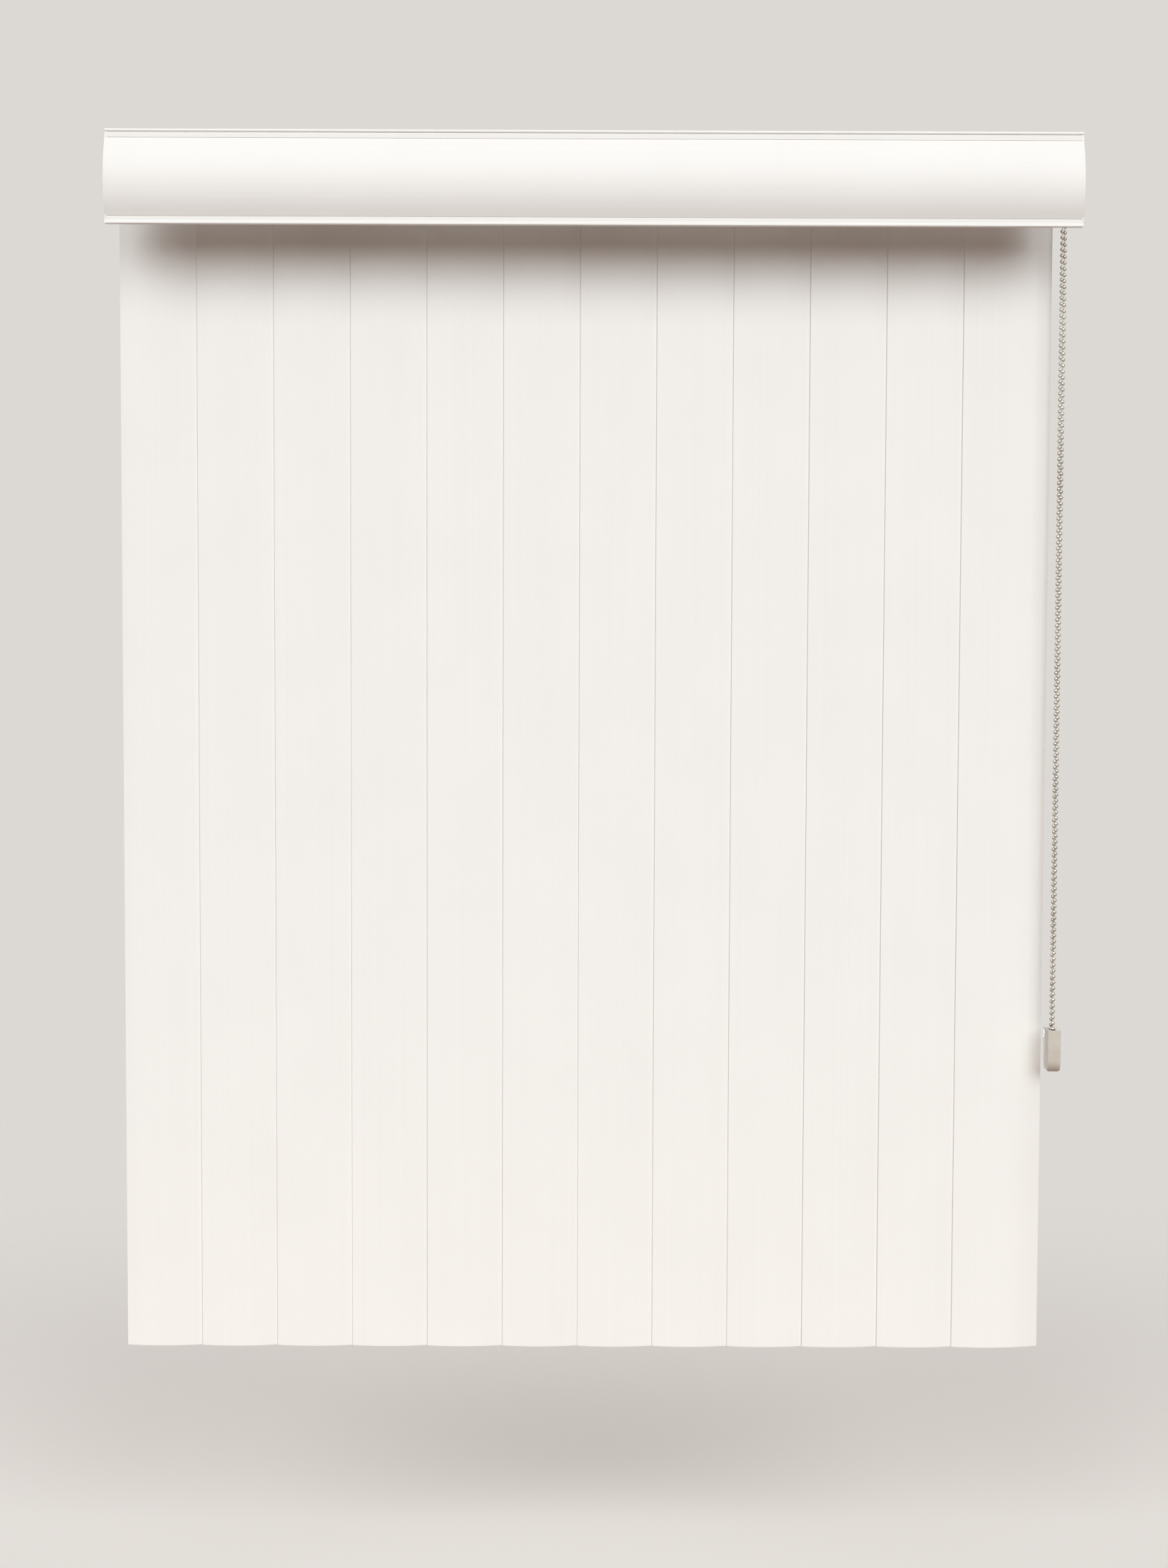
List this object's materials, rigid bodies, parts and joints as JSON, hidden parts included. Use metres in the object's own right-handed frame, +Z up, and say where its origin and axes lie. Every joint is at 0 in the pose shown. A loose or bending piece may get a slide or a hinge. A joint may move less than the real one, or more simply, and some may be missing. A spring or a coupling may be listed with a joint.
{
  "type": "vertical blind",
  "caption": "Vertical blind: curved off-white vanes on a slotted headrail behind a bulging valance, tilted together through worm gears by a metal bead chain with a wall tensioner.",
  "frame": {"origin": "middle of the four bracket screws, on the plane that the brackets are screwed to", "axes": "+X right along the headrail, -Y to the room, +Z up"},
  "size_m": [0.9591, 0.1166, 1.2344],
  "materials": {
    "vane": "smooth semi-matt rigid PVC, off-white",
    "hanger": "moulded acetal, natural",
    "carrier": "moulded acetal, white",
    "rail": "extruded, satin anodised",
    "rod": "extruded, mill finish",
    "bracket": "pressed, zinc plated",
    "spacer": "spring steel strip",
    "inner_plastic": "moulded acetal, natural",
    "end_fitting": "moulded ABS, white",
    "steel": "plated steel",
    "chain": "nickel plated, bright",
    "tensioner": "moulded ABS, warm grey",
    "valance": "extruded PVC, off-white, semi-gloss",
    "clip": "moulded polycarbonate, white"
  },
  "bodies": {
    "headrail_assembly": {"carrier_01": "carrier", "carrier_02": "carrier", "carrier_03": "carrier", "carrier_04": "carrier", "carrier_05": "carrier", "carrier_06": "carrier", "carrier_07": "carrier", "carrier_08": "carrier", "carrier_09": "carrier", "carrier_10": "carrier", "carrier_11": "carrier", "carrier_12": "carrier", "headrail": "rail", "mounting_brackets": "bracket", "spacer_links": "spacer", "carrier_wheels": "inner_plastic", "idle_end_cap": "end_fitting", "control_housing": "end_fitting", "control_cover": "end_fitting", "cover_screws": "steel", "pulley_pin": "steel", "tensioner_eyelet": "steel", "bead_chain": "chain", "tensioner_body": "tensioner", "valance": "valance", "valance_cap_left": "valance", "valance_cap_right": "valance", "valance_clips": "clip"},
    "tilt_drive": {"tilt_rod": "rod", "drive_worms": "inner_plastic", "rod_bush": "inner_plastic", "chain_wheel": "inner_plastic"},
    "chain_pulley": {"tension_pulley": "inner_plastic"},
    "turning_vane_01": {"vane_01": "vane", "hanger_01": "hanger"},
    "turning_vane_02": {"vane_02": "vane", "hanger_02": "hanger"},
    "turning_vane_03": {"vane_03": "vane", "hanger_03": "hanger"},
    "turning_vane_04": {"vane_04": "vane", "hanger_04": "hanger"},
    "turning_vane_05": {"vane_05": "vane", "hanger_05": "hanger"},
    "turning_vane_06": {"vane_06": "vane", "hanger_06": "hanger"},
    "turning_vane_07": {"vane_07": "vane", "hanger_07": "hanger"},
    "turning_vane_08": {"vane_08": "vane", "hanger_08": "hanger"},
    "turning_vane_09": {"vane_09": "vane", "hanger_09": "hanger"},
    "turning_vane_10": {"vane_10": "vane", "hanger_10": "hanger"},
    "turning_vane_11": {"vane_11": "vane", "hanger_11": "hanger"},
    "turning_vane_12": {"vane_12": "vane", "hanger_12": "hanger"}
  },
  "joints": [
    {"name": "chain_wheel_turn", "type": "hinge", "parent": "headrail_assembly", "child": "tilt_drive", "pos_m": [0.4784, -0.01073, -0.017], "axis": [-1, 0, 0], "range_deg": [0, 2080], "deforming": ["bead_chain"]},
    {"name": "pulley_turn", "type": "hinge", "parent": "headrail_assembly", "child": "chain_pulley", "pos_m": [0.4784, -0.01073, -0.92899], "axis": [-1, 0, 0], "range_deg": [0, 3744.2]},
    {"name": "vane_01_tilt", "type": "hinge", "parent": "headrail_assembly", "child": "turning_vane_01", "pos_m": [-0.42625, 0, -0.04], "axis": [0, 0, 1], "range_deg": [0, 173.34]},
    {"name": "vane_02_tilt", "type": "hinge", "parent": "headrail_assembly", "child": "turning_vane_02", "pos_m": [-0.34875, 0, -0.04], "axis": [0, 0, 1], "range_deg": [0, 173.34]},
    {"name": "vane_03_tilt", "type": "hinge", "parent": "headrail_assembly", "child": "turning_vane_03", "pos_m": [-0.27125, 0, -0.04], "axis": [0, 0, 1], "range_deg": [0, 173.34]},
    {"name": "vane_04_tilt", "type": "hinge", "parent": "headrail_assembly", "child": "turning_vane_04", "pos_m": [-0.19375, 0, -0.04], "axis": [0, 0, 1], "range_deg": [0, 173.34]},
    {"name": "vane_05_tilt", "type": "hinge", "parent": "headrail_assembly", "child": "turning_vane_05", "pos_m": [-0.11625, 0, -0.04], "axis": [0, 0, 1], "range_deg": [0, 173.34]},
    {"name": "vane_06_tilt", "type": "hinge", "parent": "headrail_assembly", "child": "turning_vane_06", "pos_m": [-0.03875, 0, -0.04], "axis": [0, 0, 1], "range_deg": [0, 173.34]},
    {"name": "vane_07_tilt", "type": "hinge", "parent": "headrail_assembly", "child": "turning_vane_07", "pos_m": [0.03875, 0, -0.04], "axis": [0, 0, 1], "range_deg": [0, 173.34]},
    {"name": "vane_08_tilt", "type": "hinge", "parent": "headrail_assembly", "child": "turning_vane_08", "pos_m": [0.11625, 0, -0.04], "axis": [0, 0, 1], "range_deg": [0, 173.34]},
    {"name": "vane_09_tilt", "type": "hinge", "parent": "headrail_assembly", "child": "turning_vane_09", "pos_m": [0.19375, 0, -0.04], "axis": [0, 0, 1], "range_deg": [0, 173.34]},
    {"name": "vane_10_tilt", "type": "hinge", "parent": "headrail_assembly", "child": "turning_vane_10", "pos_m": [0.27125, 0, -0.04], "axis": [0, 0, 1], "range_deg": [0, 173.34]},
    {"name": "vane_11_tilt", "type": "hinge", "parent": "headrail_assembly", "child": "turning_vane_11", "pos_m": [0.34875, 0, -0.04], "axis": [0, 0, 1], "range_deg": [0, 173.34]},
    {"name": "vane_12_tilt", "type": "hinge", "parent": "headrail_assembly", "child": "turning_vane_12", "pos_m": [0.42625, 0, -0.04], "axis": [0, 0, 1], "range_deg": [0, 173.34]}
  ],
  "couplings": [
    {"joint": "pulley_turn", "follows": "chain_wheel_turn", "ratio": 1.8},
    {"joint": "vane_01_tilt", "follows": "chain_wheel_turn", "ratio": 0.083333},
    {"joint": "vane_02_tilt", "follows": "chain_wheel_turn", "ratio": 0.083333},
    {"joint": "vane_03_tilt", "follows": "chain_wheel_turn", "ratio": 0.083333},
    {"joint": "vane_04_tilt", "follows": "chain_wheel_turn", "ratio": 0.083333},
    {"joint": "vane_05_tilt", "follows": "chain_wheel_turn", "ratio": 0.083333},
    {"joint": "vane_06_tilt", "follows": "chain_wheel_turn", "ratio": 0.083333},
    {"joint": "vane_07_tilt", "follows": "chain_wheel_turn", "ratio": 0.083333},
    {"joint": "vane_08_tilt", "follows": "chain_wheel_turn", "ratio": 0.083333},
    {"joint": "vane_09_tilt", "follows": "chain_wheel_turn", "ratio": 0.083333},
    {"joint": "vane_10_tilt", "follows": "chain_wheel_turn", "ratio": 0.083333},
    {"joint": "vane_11_tilt", "follows": "chain_wheel_turn", "ratio": 0.083333},
    {"joint": "vane_12_tilt", "follows": "chain_wheel_turn", "ratio": 0.083333}
  ]
}
